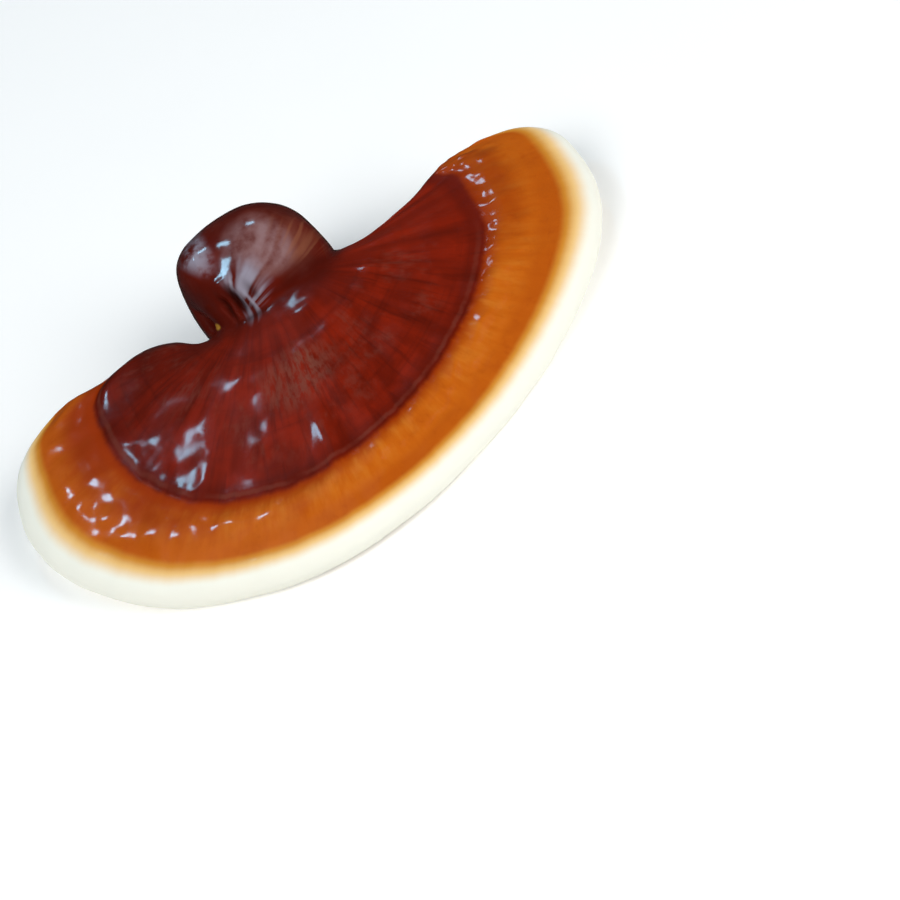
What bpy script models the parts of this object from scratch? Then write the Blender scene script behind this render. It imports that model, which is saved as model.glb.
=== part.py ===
"""A reishi mushroom: a lacquered fan-shaped cap with a thick pale lip, on a short side stalk that is
cut off flat below.

The fruiting body is one solid. It is lofted along its growth: closed rings rise from the cut of the
stalk, turn over the elbow, and then widen into a fan out to the lip. A vertex is found from its ring,
how far along the growth it is, and its column, how far across from the left edge (-1) to the right
edge (1). Each ring has an upper row of columns, which becomes the lacquered top, and a lower row,
which becomes the pore surface.

Lengths are in millimetres until the mesh is made, and the growth centre is at the origin: x across the
cap, the lip towards -y, z up from the cut.
"""

import bmesh
import bpy
import numpy as np

MM = 0.001
NAME = "reishi_mushroom"

# Plan of the lip, from the left back corner round the front to the right back corner.
RIM = (
    (-56.0, 12.0), (-71.2, 4.9), (-75.4, -10.5), (-70.2, -27.4), (-56.4, -43.6),
    (-38.0, -54.0), (-17.7, -59.2), (2.6, -57.0), (22.4, -49.7), (41.9, -39.1),
    (59.0, -26.1), (71.7, -11.3), (77.0, 4.2), (73.7, 20.2), (57.7, 22.3),
)
LIP_HALF = 4.0
LIP_DEPTH = 6.0
MEAN_REACH = 66.0
# The lip's edge is half an ellipse, which begins this far along the way from the crease to the lip.
LIP_START = 1 - LIP_DEPTH / MEAN_REACH

# Height of the lip's underside over the floor, at these shares of the way round it.
LIFT_AT = (-1.0, -0.75, -0.45, -0.08, 0.3, 0.7, 1.0)
LIFT = (9.0, 3.2, -0.55, 0.9, -0.6, 3.2, 9.6)

# Rails of the stalk and elbow, as (y, z) from the cut to the crease where the cap begins.
OUTER_RAIL = (
    (28.0, 0), (29.2, 12), (28.8, 22), (26.0, 30.0), (20.0, 34.8),
    (12.0, 36.2), (5.0, 33.3), (0.5, 28.5), (-2.5, 25.6),
)
SIDE_RAIL = (
    (14.5, 0), (15.6, 7), (16.0, 14), (15.4, 19), (14.0, 21.8),
    (12.6, 21.8), (11.2, 20.6), (10.0, 19.2), (8.8, 18.0),
)
INNER_RAIL = (
    (0.5, 0), (0.3, 3), (0.0, 5.5), (-0.7, 7.5), (-2.0, 9.0),
    (-3.8, 10.0), (-5.6, 10.5), (-7.2, 10.7), (-9.0, 10.8),
)
STALK_HALF_WIDTH = (15.5, 15.8, 16.2, 16.5, 16.6, 16.4, 16.2, 15.9, 15.6)
STALK_CENTRE = (-2.4, -2.6, -2.9, -2.9, -2.4, -1.6, -0.7, 0.1, 0.5)
SQUARENESS = (2.05, 2.1, 2.2, 2.35, 2.5, 2.5, 2.5, 2.4, 2.3)
# The crease runs askew: its right end lies this much further back than its middle, and its left end
# this much further forward.
SKEW = (0, 0, 0, 0, 0.3, 0.8, 1.5, 2.2, 2.6)
# The elbow comes down to the cap sooner on its right side than on its left, by this much growth.
SOONER = 0.09
# The crease is rounded over this much growth at its middle and at its two ends.
CREASE_ROUNDING = (0.012, 0.062)
CREASE_REACH = 0.16

# The dark zone ends on one ring, BOUNDARY of the way out. Its true share of the way differs by column.
BOUNDARY = 0.62
BOUNDARY_AT = (-1.0, -0.85, -0.72, -0.55, -0.35, 0.0, 0.35, 0.55, 0.72, 0.85, 1.0)
BOUNDARY_SHARE = (0.66, 0.608, 0.577, 0.615, 0.678, 0.712, 0.648, 0.594, 0.57, 0.61, 0.70)

# How far the back edges swell backwards, at these shares of the way out.
SWELL_AT = (0.0, 0.1, 0.25, 0.45, 0.7, 0.88, 1.0)
SWELL_LEFT = (0.0, -2.2, 3.2, 6.3, 2.9, 1.8, 0.0)
SWELL_RIGHT = (0.0, -3.2, -4.2, -2.9, 1.5, 1.7, 0.0)
SWELL_FROM = 0.55

# Columns past EDGE_COLUMN turn down over the back edges, which are the last parts of the lip's length.
EDGE_COLUMN = 0.90
EDGE_SHARE = 0.965
# The cap falls from the crease to the lip half by an even slope and half by this power of the way out.
DROOP_POWER = 1.35
THINNING_POWER = 0.8

# Relief on top: the groove round the dark zone, the step and the roll of the band, a roll inside the
# dark zone, broad lobes, a valley and the ribs of the right wing. It fades towards the back edges.
TOP_FADE = (0.82, 0.97)
# The dark zone's own relief comes in and goes out over these shares of the way.
DARK_ZONE_START = (0.1, 0.4)
DARK_ZONE_END = (0.5, 0.6)
GROOVE_DEPTH = 0.2
GROOVE_WIDTH = 0.02
SHOULDER_HEIGHT = 0.8
SHOULDER_RISE = (0.61, 0.72)
SHOULDER_FALL = (0.80, 1.0)
# The shoulder is lower about this column, over this half width, by this share.
SHOULDER_DIP = (0.07, 0.16, 0.65)
ROLL_HEIGHT = 0.5
ROLL_AT = (-1.0, -0.8, -0.5, -0.35, -0.2, 0.0, 1.0)
ROLL_PLACE = (0.81, 0.81, 0.80, 0.735, 0.705, 0.68, 0.665)
ROLL_WIDTH = 0.1
INNER_ROLL_HEIGHT = 0.3
INNER_ROLL = 0.44
LOBE_HEIGHT = 0.15
LOBE_WAVES = ((27, 0.6, 1.0), (17, 2.1, 0.8))
LOBE_FADE = (0.8, 0.95)
VALLEY_COLUMN = 0.13
VALLEY_DEPTH = 0.6
VALLEY_WIDTH = 0.05
RIB_HEIGHT = 0.35
RIB_START = (0.06, 0.3)
# The ribs lie between these columns, and are waves across them: (rate, drift outwards, phase, share).
WING_START = (0.2, 0.35)
WING_END = (0.85, 0.95)
RIB_WAVES = ((56, 2.0, 0.3, 0.6), (37, -2.5, 1.9, 0.5), (88, 4.0, 4.0, 0.3))

# Lumps and dents of the elbow and of the cap near it: (growth, column, half length, half width, height).
LUMPS = (
    (0.24, 0.45, 0.12, 0.30, 0.8), (0.30, -0.35, 0.10, 0.22, -0.5), (0.52, 0.12, 0.12, 0.24, 0.7),
    (0.56, -0.52, 0.13, 0.25, 1.2), (0.68, -0.25, 0.11, 0.20, -2.2), (0.70, 0.45, 0.07, 0.26, 0.7),
    (0.74, -0.20, 0.08, 0.16, 0.9), (0.87, -0.43, 0.035, 0.11, -1.0), (0.96, 0.02, 0.04, 0.22, -0.4),
    (0.96, -0.05, 0.05, 0.14, -0.7), (1.08, 0.06, 0.03, 0.10, 0.5), (1.20, 0.05, 0.04, 0.45, 0.5),
    (1.48, -0.75, 0.08, 0.10, -1.0),
)

# Creases where the left of the elbow is drawn in towards the cap, in the same way, with their depths.
CREASES = (
    (0.885, -0.32, 0.07, 0.05, 1.6), (0.90, -0.47, 0.06, 0.035, 0.9), (0.87, -0.15, 0.05, 0.035, 0.6),
    (0.94, -0.24, 0.04, 0.03, 0.6),
)

# The relief begins this far up from the cut, so that the cut's outline stays even.
RELIEF_START = 0.08

# Resolution: columns above and below, and rings as (from, to, how many) along the growth.
COLUMNS_ABOVE = 80
COLUMNS_BELOW = 40
STALK_RINGS = ((0.0, 0.3, 3), (0.3, 0.9, 8), (0.9, 1.0, 2))
FAN_RINGS = ((1.0, 1.08, 2), (1.08, 1.56, 9), (1.56, 1.69, 7), (1.69, 1.909, 4))
LIP_RINGS = 5


def smooth(x):
    """0 below 0, 1 above 1, and an even rise between."""
    x = np.clip(x, 0.0, 1.0)
    return x * x * (3 - 2 * x)


def ramp(x, start, end):
    """0 up to the start, 1 from the end on."""
    return smooth((x - start) / (end - start))


def bump(x, middle, half_width):
    return np.exp(-(((x - middle) / half_width) ** 2))


def through(x, knots, values):
    """A smooth curve through the values at the knots, read at x."""
    knots = np.asarray(knots, float)
    values = np.asarray(values, float)
    slopes = np.gradient(values, knots, axis=0)
    i = np.clip(np.searchsorted(knots, x, side="right") - 1, 0, len(knots) - 2)
    step = knots[i + 1] - knots[i]
    u = (x - knots[i]) / step
    if values.ndim == 2:
        u, step = u[..., None], step[..., None]
    return (
        (2 * u**3 - 3 * u**2 + 1) * values[i]
        + (u**3 - 2 * u**2 + u) * step * slopes[i]
        + (3 * u**2 - 2 * u**3) * values[i + 1]
        + (u**3 - u**2) * step * slopes[i + 1]
    )


def rim_at(share):
    """The lip's plan at a share of its length, -1 at the left back corner and 1 at the right."""
    fine = through(np.linspace(-1, 1, 801), np.linspace(-1, 1, len(RIM)), RIM)
    run = np.concatenate([[0], np.cumsum(np.linalg.norm(np.diff(fine, axis=0), axis=1))])
    run = run / run[-1] * 2 - 1
    return np.stack([np.interp(share, run, fine[:, axis]) for axis in (0, 1)], axis=-1)


def rail(points, growth):
    return through(growth, np.linspace(0, 1, len(points)), points)


def stalk_surface(growth, column, above):
    """Points on the stalk and elbow. Growth is 0 at the cut and 1 at the crease where the cap begins."""
    angle = column * np.pi / 2
    growth = growth + SOONER * column * bump(growth, 0.84, 0.13) * ramp(growth, 1.0, 0.9)
    power = 2 / rail(SQUARENESS, growth)
    across = np.sign(angle) * np.abs(np.sin(angle)) ** power
    out = np.abs(np.cos(angle)) ** power
    side = rail(SIDE_RAIL, growth)
    far = np.where(above[..., None], rail(OUTER_RAIL, growth), rail(INNER_RAIL, growth))
    yz = side + (far - side) * out[..., None]
    yz[..., 0] += rail(SKEW, growth) * across
    x = rail(STALK_CENTRE, growth) + rail(STALK_HALF_WIDTH, growth) * across
    return np.concatenate([x[..., None], yz], axis=-1)


def fan_surface(growth, column, above):
    """Points on the cap. Growth is 1 at the crease and 2 at the lip."""
    way = growth - 1
    lip = np.sqrt(1 - ((way - LIP_START) / (1 - LIP_START)).clip(0, 1) ** 2)
    turn = ((np.abs(column) - EDGE_COLUMN) / (1 - EDGE_COLUMN)).clip(0, 1) * np.pi / 2
    flat_share = column / EDGE_COLUMN * EDGE_SHARE
    edge_share = np.sign(column) * (EDGE_SHARE + (1 - EDGE_SHARE) * np.sin(turn))
    share = np.where(np.abs(column) <= EDGE_COLUMN, flat_share, edge_share)

    zone = through(column, BOUNDARY_AT, BOUNDARY_SHARE) - BOUNDARY
    out = way + zone * way * (1 - way) / (BOUNDARY * (1 - BOUNDARY))
    crease = stalk_surface(np.ones_like(growth), column, above)
    plan = crease[..., :2] * (1 - out)[..., None] + rim_at(share) * out[..., None]
    swell = np.where(column < 0, through(out, SWELL_AT, SWELL_LEFT), through(out, SWELL_AT, SWELL_RIGHT))
    plan[..., 1] += swell * ((np.abs(column) - SWELL_FROM) / (1 - SWELL_FROM)).clip(0, 1) ** 2

    start = SIDE_RAIL[-1][1]
    droop = (smooth(out) + out**DROOP_POWER) / 2
    middle = start + (through(share, LIFT_AT, LIFT) + LIP_HALF - start) * droop
    thinning = out**THINNING_POWER
    half = np.abs(crease[..., 2] - start) * (1 - thinning) + LIP_HALF * np.cos(turn) * thinning
    height = middle + np.where(above, half, -half) * lip
    return np.concatenate([plan, height[..., None]], axis=-1)


def surface(growth, column, above):
    """Points on stalk and cap together, with the notches at the crease's two ends rounded out."""
    middle, ends = CREASE_ROUNDING
    sides = 1 - np.cos(column * np.pi / 2) ** 0.8
    reach = (middle + (ends - middle) * sides) * bump(growth, 1.0, CREASE_REACH)
    total = np.zeros(growth.shape + (3,))
    for step, weight in zip(range(-3, 4), (1, 6, 15, 20, 15, 6, 1)):
        at = (growth + step * reach).clip(0, 2)
        stalk = stalk_surface(at.clip(0, 1), column, above)
        fan = fan_surface(at.clip(1, 2), column, above)
        total += weight / 64 * np.where((at < 1)[..., None], stalk, fan)
    return total


def outward(points):
    """Unit vectors out of the surface, from a grid of rings whose columns run round and close."""
    along = np.gradient(points, axis=0)
    around = np.roll(points, -1, axis=1) - np.roll(points, 1, axis=1)
    normal = np.cross(along, around)
    return normal / np.linalg.norm(normal, axis=-1, keepdims=True).clip(1e-9)


def bumps(places, growth, column):
    """The sum of the heights of lumps at the places."""
    return sum(
        height * bump(growth, at, half_length) * bump(column, side, half_width)
        for at, side, half_length, half_width, height in places
    )


def ribs(way, column):
    """Irregular ribs along the growth of the right wing, from about -1 to 1."""
    waves = sum(
        share * np.sin(rate * column + drift * way + phase) for rate, drift, phase, share in RIB_WAVES
    )
    wing = ramp(column, *WING_START) * (1 - ramp(column, *WING_END))
    return waves * wing * ramp(way, *RIB_START) * (1 - ramp(way, *DARK_ZONE_END))


def relief(growth, column, above):
    """How far each point stands out from the smooth form."""
    way = growth - 1
    groove = -GROOVE_DEPTH * bump(way, BOUNDARY, GROOVE_WIDTH)
    middle, half_width, share = SHOULDER_DIP
    shoulder = SHOULDER_HEIGHT * ramp(way, *SHOULDER_RISE) * (1 - ramp(way, *SHOULDER_FALL))
    shoulder = shoulder * (1 - share * bump(column, middle, half_width))
    roll = ROLL_HEIGHT * bump(way, through(column, ROLL_AT, ROLL_PLACE), ROLL_WIDTH)
    inner_roll = INNER_ROLL_HEIGHT * bump(way, INNER_ROLL, ROLL_WIDTH)
    waves = sum(share * np.sin(rate * column + phase) for rate, phase, share in LOBE_WAVES)
    inside = ramp(way, *DARK_ZONE_START)
    lobes = LOBE_HEIGHT * waves * inside * (1 - ramp(way, *LOBE_FADE))
    dark_zone = inside * (1 - ramp(way, *DARK_ZONE_END))
    valley = -VALLEY_DEPTH * bump(column, VALLEY_COLUMN, VALLEY_WIDTH) * dark_zone
    rise = groove + shoulder + roll + inner_roll + lobes + valley
    rise = rise * (1 - ramp(np.abs(column), *TOP_FADE)) + RIB_HEIGHT * ribs(way, column)
    rise = rise + bumps(LUMPS, growth, column) - bumps(CREASES, growth, column)
    return rise * above * ramp(growth, 0.0, RELIEF_START)


def ring_growths():
    """Growth of each ring, from the cut to the last ring of the lip."""
    parts = [np.linspace(a, b, n, endpoint=False) for a, b, n in STALK_RINGS + FAN_RINGS]
    turn = np.linspace(0, np.pi / 2, LIP_RINGS + 1)
    parts.append(1 + LIP_START + (1 - LIP_START) * np.sin(turn))
    return np.concatenate(parts)


def body_grid():
    """The grid of points, ring by ring. The upper row of columns comes first, then the lower row back."""
    upper = np.linspace(-1, 1, COLUMNS_ABOVE + 1)
    lower = np.linspace(1, -1, COLUMNS_BELOW + 1)[1:-1]
    column, growth = np.meshgrid(np.concatenate([upper, lower]), ring_growths())
    above = np.arange(column.shape[1])[None, :] <= COLUMNS_ABOVE
    above = np.broadcast_to(above, column.shape)
    points = surface(growth, column, above)
    points += outward(points) * relief(growth, column, above)[..., None]
    points[..., 2] = points[..., 2].clip(0)
    return points


def centred(points):
    """The points with the origin at the middle of their box, at its lowest level."""
    low = points.min(axis=(0, 1))
    high = points.max(axis=(0, 1))
    return points - np.array([(low[0] + high[0]) / 2, (low[1] + high[1]) / 2, low[2]])


def build_mesh(points):
    """Skins the rings, closes the cut with one flat face and the lip with a seam along its tip."""
    bm = bmesh.new()
    rings = [[bm.verts.new(point * MM) for point in ring] for ring in points[:-1]]
    tip = [bm.verts.new(point * MM) for point in points[-1][: COLUMNS_ABOVE + 1]]
    around = len(rings[0])
    for inner, outer in zip(rings, rings[1:]):
        for j in range(around):
            k = (j + 1) % around
            bm.faces.new((inner[j], inner[k], outer[k], outer[j]))
    last = rings[-1]
    for j in range(COLUMNS_ABOVE):
        bm.faces.new((last[j], last[j + 1], tip[j + 1], tip[j]))
    ratio = COLUMNS_ABOVE // COLUMNS_BELOW
    below = last[COLUMNS_ABOVE:] + [last[0]]
    for j in range(COLUMNS_BELOW):
        over = tip[COLUMNS_ABOVE - (j + 1) * ratio : COLUMNS_ABOVE - j * ratio + 1]
        bm.faces.new([below[j], below[j + 1]] + over)
    bm.faces.new(rings[0])
    bmesh.ops.remove_doubles(bm, verts=bm.verts, dist=1e-5)
    bmesh.ops.triangulate(bm, faces=bm.faces)
    bmesh.ops.recalc_face_normals(bm, faces=bm.faces)
    mesh = bpy.data.meshes.new(NAME)
    bm.to_mesh(mesh)
    bm.free()
    mesh.shade_smooth()
    return mesh


def lacquer():
    """The dark red-brown, glossy crust."""
    material = bpy.data.materials.new("lacquered_crust")
    material.use_nodes = True
    shader = material.node_tree.nodes["Principled BSDF"]
    shader.inputs["Base Color"].default_value = (0.16, 0.03, 0.012, 1)
    shader.inputs["Roughness"].default_value = 0.22
    shader.inputs["Metallic"].default_value = 0.0
    return material


def main():
    for old in list(bpy.data.objects):
        bpy.data.objects.remove(old, do_unlink=True)
    mushroom = bpy.data.objects.new(NAME, build_mesh(centred(body_grid())))
    mushroom.data.materials.append(lacquer())
    bpy.context.scene.collection.objects.link(mushroom)


main()
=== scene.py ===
"""A lacquered reishi mushroom on a plain pale floor, laid out as a Blender add-on and run as a script.

The mushroom grew as one piece, so it is one mesh. It is lofted along its growth: closed rings rise from the
cut of the stalk, turn over the elbow, and widen into a fan out to the lip. Each point knows its growth (0 at
the cut, 1 at the crease where the cap begins, 2 at the lip's tip, below 0 inside the cut) and its column
(-1 at the left edge, 1 at the right). The way is the growth past the crease. The finish reads them all, so
that streaks run along the growth and zones run across it.

The form is worked out in millimetres with the growth centre at the origin: x across the cap, the lip towards
-y, z up.
"""

import bpy
import numpy as np
from bpy.props import FloatProperty, FloatVectorProperty, IntProperty, PointerProperty
from mathutils import Matrix, Vector


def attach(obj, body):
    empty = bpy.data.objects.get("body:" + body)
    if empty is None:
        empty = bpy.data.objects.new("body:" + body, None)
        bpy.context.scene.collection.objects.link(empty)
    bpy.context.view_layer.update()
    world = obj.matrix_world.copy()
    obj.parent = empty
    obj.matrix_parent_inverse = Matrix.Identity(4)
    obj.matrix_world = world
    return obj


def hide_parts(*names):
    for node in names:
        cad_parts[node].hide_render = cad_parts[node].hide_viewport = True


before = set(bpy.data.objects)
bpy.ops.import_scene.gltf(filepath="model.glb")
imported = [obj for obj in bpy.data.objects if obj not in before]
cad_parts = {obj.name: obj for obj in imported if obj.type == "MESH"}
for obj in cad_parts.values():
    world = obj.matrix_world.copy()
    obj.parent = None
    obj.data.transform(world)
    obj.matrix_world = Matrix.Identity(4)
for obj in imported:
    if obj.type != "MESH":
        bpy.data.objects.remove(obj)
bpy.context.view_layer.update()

bl_info = {
    "name": "Reishi Mushroom",
    "version": (1, 0, 0),
    "blender": (4, 5, 0),
    "location": "3D View > Sidebar > Reishi",
    "description": "Makes a lacquered reishi mushroom and the plain stage that it rests on",
    "category": "Add Mesh",
}

MM = 0.001
NODE = "reishi_mushroom"
PIECE = "reishi_fruiting_body"

# Plan of the lip, from the left back corner round the front to the right back corner.
RIM = (
    (-56.0, 12.0), (-71.2, 4.9), (-75.4, -10.5), (-70.2, -27.4), (-56.4, -43.6),
    (-38.0, -54.0), (-17.7, -59.2), (2.6, -57.0), (22.4, -49.7), (41.9, -39.1),
    (59.0, -26.1), (71.7, -11.3), (77.0, 4.2), (73.7, 20.2), (57.7, 22.3),
)
# The length of the curve through them is measured at this many places.
RIM_SAMPLES = 801
# Half the lip's thickness, the depth of its rounded edge, and the mean reach from the crease to the lip.
LIP_HALF = 4.0
LIP_DEPTH = 6.0
MEAN_REACH = 66.0
# The lip's edge is half an ellipse, which begins this far along the way from the crease to the lip.
LIP_START = 1 - LIP_DEPTH / MEAN_REACH

# Height of the lip's underside over the floor, at these shares of the way round it.
LIFT_AT = (-1.0, -0.75, -0.45, -0.08, 0.3, 0.7, 1.0)
LIFT = (9.0, 3.2, -0.55, 0.9, -0.6, 3.2, 9.6)

# Rails of the stalk and elbow, as (y, z) from the cut to the crease where the cap begins, and its section
# at the same places.
OUTER_RAIL = (
    (28.0, 0), (29.2, 12), (28.8, 22), (26.0, 30.0), (20.0, 34.8),
    (12.0, 36.2), (5.0, 33.3), (0.5, 28.5), (-2.5, 25.6),
)
SIDE_RAIL = (
    (14.5, 0), (15.6, 7), (16.0, 14), (15.4, 19), (14.0, 21.8),
    (12.6, 21.8), (11.2, 20.6), (10.0, 19.2), (8.8, 18.0),
)
INNER_RAIL = (
    (0.5, 0), (0.3, 3), (0.0, 5.5), (-0.7, 7.5), (-2.0, 9.0),
    (-3.8, 10.0), (-5.6, 10.5), (-7.2, 10.7), (-9.0, 10.8),
)
STALK_HALF_WIDTH = (15.5, 15.8, 16.2, 16.5, 16.6, 16.4, 16.2, 15.9, 15.6)
STALK_CENTRE = (-2.4, -2.6, -2.9, -2.9, -2.4, -1.6, -0.7, 0.1, 0.5)
SQUARENESS = (2.05, 2.1, 2.2, 2.35, 2.5, 2.5, 2.5, 2.4, 2.3)
# The crease runs askew: its right end lies this much further back than its middle, and its left end
# this much further forward.
SKEW = (0, 0, 0, 0, 0.3, 0.8, 1.5, 2.2, 2.6)
# The elbow comes down to the cap sooner on its right side than on its left, by this much growth. It does so
# about a growth, over a half length, and the fade ends that at the crease.
SOONER = 0.09
SOONER_ABOUT = (0.84, 0.13)
SOONER_FADE = (1.0, 0.9)
# The crease is rounded over this much growth at its middle and at its two ends, less and less over a reach
# to either side of it. The smaller the power, the further the middle's rounding goes towards the ends.
CREASE_ROUNDING = (0.012, 0.062)
CREASE_REACH = 0.16
CREASE_POWER = 0.8
# Each point there is the mean of a row of points with these weights.
SOFTENING = (1, 6, 15, 20, 15, 6, 1)

# The dark zone ends on one ring, BOUNDARY of the way out. Its true share of the way differs by column.
BOUNDARY = 0.62
BOUNDARY_AT = (-1.0, -0.85, -0.72, -0.55, -0.35, 0.0, 0.35, 0.55, 0.72, 0.85, 1.0)
BOUNDARY_SHARE = (0.66, 0.608, 0.577, 0.615, 0.678, 0.712, 0.648, 0.594, 0.57, 0.61, 0.70)

# How far the back edges swell backwards, at these shares of the way out.
SWELL_AT = (0.0, 0.1, 0.25, 0.45, 0.7, 0.88, 1.0)
SWELL_LEFT = (0.0, -2.2, 3.2, 6.3, 2.9, 1.8, 0.0)
SWELL_RIGHT = (0.0, -3.2, -4.2, -2.9, 1.5, 1.7, 0.0)
# They swell from this column on.
SWELL_FROM = 0.55

# Columns past EDGE_COLUMN turn down over the back edges, which are the last parts of the lip's length.
EDGE_COLUMN = 0.90
EDGE_SHARE = 0.965
# The cap falls from the crease to the lip half by an even slope and half by this power of the way out.
DROOP_POWER = 1.35
THINNING_POWER = 0.8

# Relief on top: the groove round the dark zone, the step, the roll and the crest of the band, a roll inside
# the dark zone, broad lobes, a valley and the ribs of the right wing. It fades towards the back edges.
TOP_FADE = (0.82, 0.97)
# The dark zone's own relief comes in and goes out over these shares of the way.
DARK_ZONE_START = (0.1, 0.4)
DARK_ZONE_END = (0.5, 0.6)
GROOVE_WIDTH = 0.02
SHOULDER_RISE = (0.61, 0.72)
SHOULDER_FALL = (0.80, 1.0)
# The shoulder is lower about this column, over this half width, by this share.
SHOULDER_DIP = (0.07, 0.16, 0.65)
# How far out the band's roll lies, at these columns.
ROLL_AT = (-1.0, -0.8, -0.5, -0.35, -0.2, 0.0, 1.0)
ROLL_PLACE = (0.81, 0.81, 0.80, 0.735, 0.705, 0.68, 0.665)
ROLL_WIDTH = 0.1
CREST_WIDTH = 0.07
INNER_ROLL = 0.44
# The lobes are waves across the columns: (rate, phase, share).
LOBE_WAVES = ((27, 0.6, 1.0), (17, 2.1, 0.8))
LOBE_FADE = (0.8, 0.95)
VALLEY_COLUMN = 0.13
VALLEY_DEPTH = 0.6
VALLEY_WIDTH = 0.05
RIB_START = (0.06, 0.3)
# The ribs lie between these columns, and are waves across them: (rate, drift outwards, phase, share).
WING_START = (0.2, 0.35)
WING_END = (0.85, 0.95)
RIB_WAVES = ((56, 2.0, 0.3, 0.6), (37, -2.5, 1.9, 0.5), (88, 4.0, 4.0, 0.3))

# Lumps and dents of the elbow and of the cap near it: (growth, column, half length, half width, height).
LUMPS = (
    (0.56, -0.52, 0.13, 0.25, 1.2), (0.74, -0.20, 0.08, 0.16, 0.9), (0.52, 0.12, 0.12, 0.24, 0.7),
    (0.70, 0.45, 0.07, 0.26, 0.7), (0.87, -0.43, 0.035, 0.11, -1.0), (0.96, 0.02, 0.04, 0.22, -0.4),
    (1.08, 0.06, 0.03, 0.10, 0.5), (1.20, 0.05, 0.04, 0.45, 0.5), (0.24, 0.45, 0.12, 0.30, 0.8),
    (0.30, -0.35, 0.10, 0.22, -0.5), (0.68, -0.25, 0.11, 0.20, -2.2), (0.96, -0.05, 0.05, 0.14, -0.7),
    (1.48, -0.75, 0.08, 0.10, -1.0),
)

# Creases where the left of the elbow is drawn in towards the cap, in the same way, with their depths.
CREASES = (
    (0.885, -0.32, 0.07, 0.05, 1.6), (0.90, -0.47, 0.06, 0.035, 0.9), (0.87, -0.15, 0.05, 0.035, 0.6),
    (0.94, -0.24, 0.04, 0.03, 0.6),
)

# The neck is a hollow too, with painted shade, in the same way, and so are the troughs between the ribs, by
# this share.
NECK = (0.99, -0.25, 0.02, 0.25, 0.8)
TROUGH_SHARE = 0.3

# Smaller lumps of the dark zone and the elbow, in the same way.
SMALL_LUMPS = (
    (1.54, -0.84, 0.09, 0.07, 1.4), (1.54, -0.37, 0.06, 0.03, 0.5), (1.54, -0.07, 0.13, 0.03, 1.3),
    (0.62, -0.35, 0.09, 0.14, 1.2), (0.78, -0.35, 0.03, 0.10, 0.6),
)

# Where the pale margin is half way to white, as a share of the way out, at these columns.
MARGIN_AT = (-1.0, -0.94, -0.88, -0.8, -0.6, -0.35, -0.1, 0.15, 0.4, 0.6, 0.8, 0.88, 0.94, 1.0)
MARGIN = (1.12, 1.04, 0.945, 0.905, 0.908, 0.907, 0.916, 0.928, 0.925, 0.931, 0.938, 0.96, 1.04, 1.12)

# Smooth noise repeats after this many cells, and is raised by this factor to reach from about -1 to 1.
NOISE_CELLS = 32
NOISE_GAIN = 1.7
# Fine lumps: (width of the coarse ones and of the fine ones in mm, share of the fine ones, start of each).
CAP_LUMPS = (7, 2.8, 0.18, 1477, 2)
KNOB_LUMPS = (3, 2, 0.4, 2628, 2)
LIP_SWELLS = (8, 3, 0.3, 8, 9)
DIMPLES = (3.8, 3614)
# The knob's lumps are lower than the cap's, by this factor.
KNOB_LOWER = 0.14
# Wrinkles and pleats: (cells across the columns, cells along the way, start).
WRINKLES = (20, 4, 3)
FINE_WRINKLES = (44, 7, 4)
FINE_WRINKLE_SHARE = 0.5
PLEATS = (32, 18, 913)
# Where the fine relief comes in and goes out, in shares of the way and in columns.
KNOB_END = (-0.1, 0.05)
CRUST_END = (0.86, 0.92)
WRINKLE_START = (0.05, 0.4)
WRINKLE_COLUMNS = (-0.4, 0.0)
PLEAT_START = (0.60, 0.64)
PLEAT_END = (0.74, 0.86)
PLEAT_COLUMNS = (-0.2, 0.3)
DIMPLE_START = (0.64, 0.68)
DIMPLE_COLUMNS = (0.4, 0.0)
SWELLS_START = (0.88, 0.93)
# It is lower by this share on the cap's back edges, past these columns and from this way on.
EDGE_CALM = 0.7
EDGE_CALM_COLUMNS = (0.9, 1.0)
EDGE_CALM_START = (0.0, 0.1)

# The relief begins this far up from the cut, so that the cut's outline stays even.
RELIEF_START = 0.08
# The rings inside the cut shrink to this share of its outline.
CUT_CORE = 0.03
# The underside has one column for this many on top.
UNDERSIDE_STEP = 4
# Edges sharper than this many degrees aren't smoothed.
SHARP_EDGE = 60
# Shares of the rings between these growths. The rest of the rings turn round the lip.
RING_SHARES = (
    (0.0, 0.35, 0.05), (0.35, 1.0, 0.30), (1.0, 1.56, 0.27), (1.56, 1.70, 0.14), (1.70, 1 + LIP_START, 0.15),
)

# Noises of the finish: (cells per metre, detail, roughness).
BLOTCHES = (110.0, 3.0, 0.55)
MOTTLE = (420.0, 3.0, 0.6)
PORES = (2600.0, 1.0, 0.4)
ORANGE_PEEL = (700.0, 2.0, 0.5)
VELVET = (3500.0, 2.0, 0.6)
FLOOR_GRAIN = (30.0, 3.0, 0.5)
# Heights of the grain on the lacquer, on the lip and on the pores, as shares of the grain height.
PEEL_SHARE = 1.4
VELVET_SHARE = 0.35
PORE_SHARE = 0.9
GRAIN_STRENGTH = 0.5
LACQUER_IOR = 1.5
# The crust's own shine under the lacquer.
BARE_SHINE = 0.1
# The elbow's streaks fan out from this column of its neck, where a way counts this many columns.
FAN_COLUMN = -0.5
FAN_STRETCH = 3.5

# The photograph's frame and where the mushroom stands in it.
FRAME_PIXELS = 900
SENSOR_MM = 36.0
AIM_PIXEL = (278.3, 296.4)
AIM_POINT = (0.0, 0.0, 24.5)
MM_PER_PIXEL = 0.2239

WHITE = (1.0, 1.0, 1.0)
WINDOW_TINT = (0.37, 0.74, 1.0)
SKY_TINT = (0.92, 0.95, 1.0)
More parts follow.
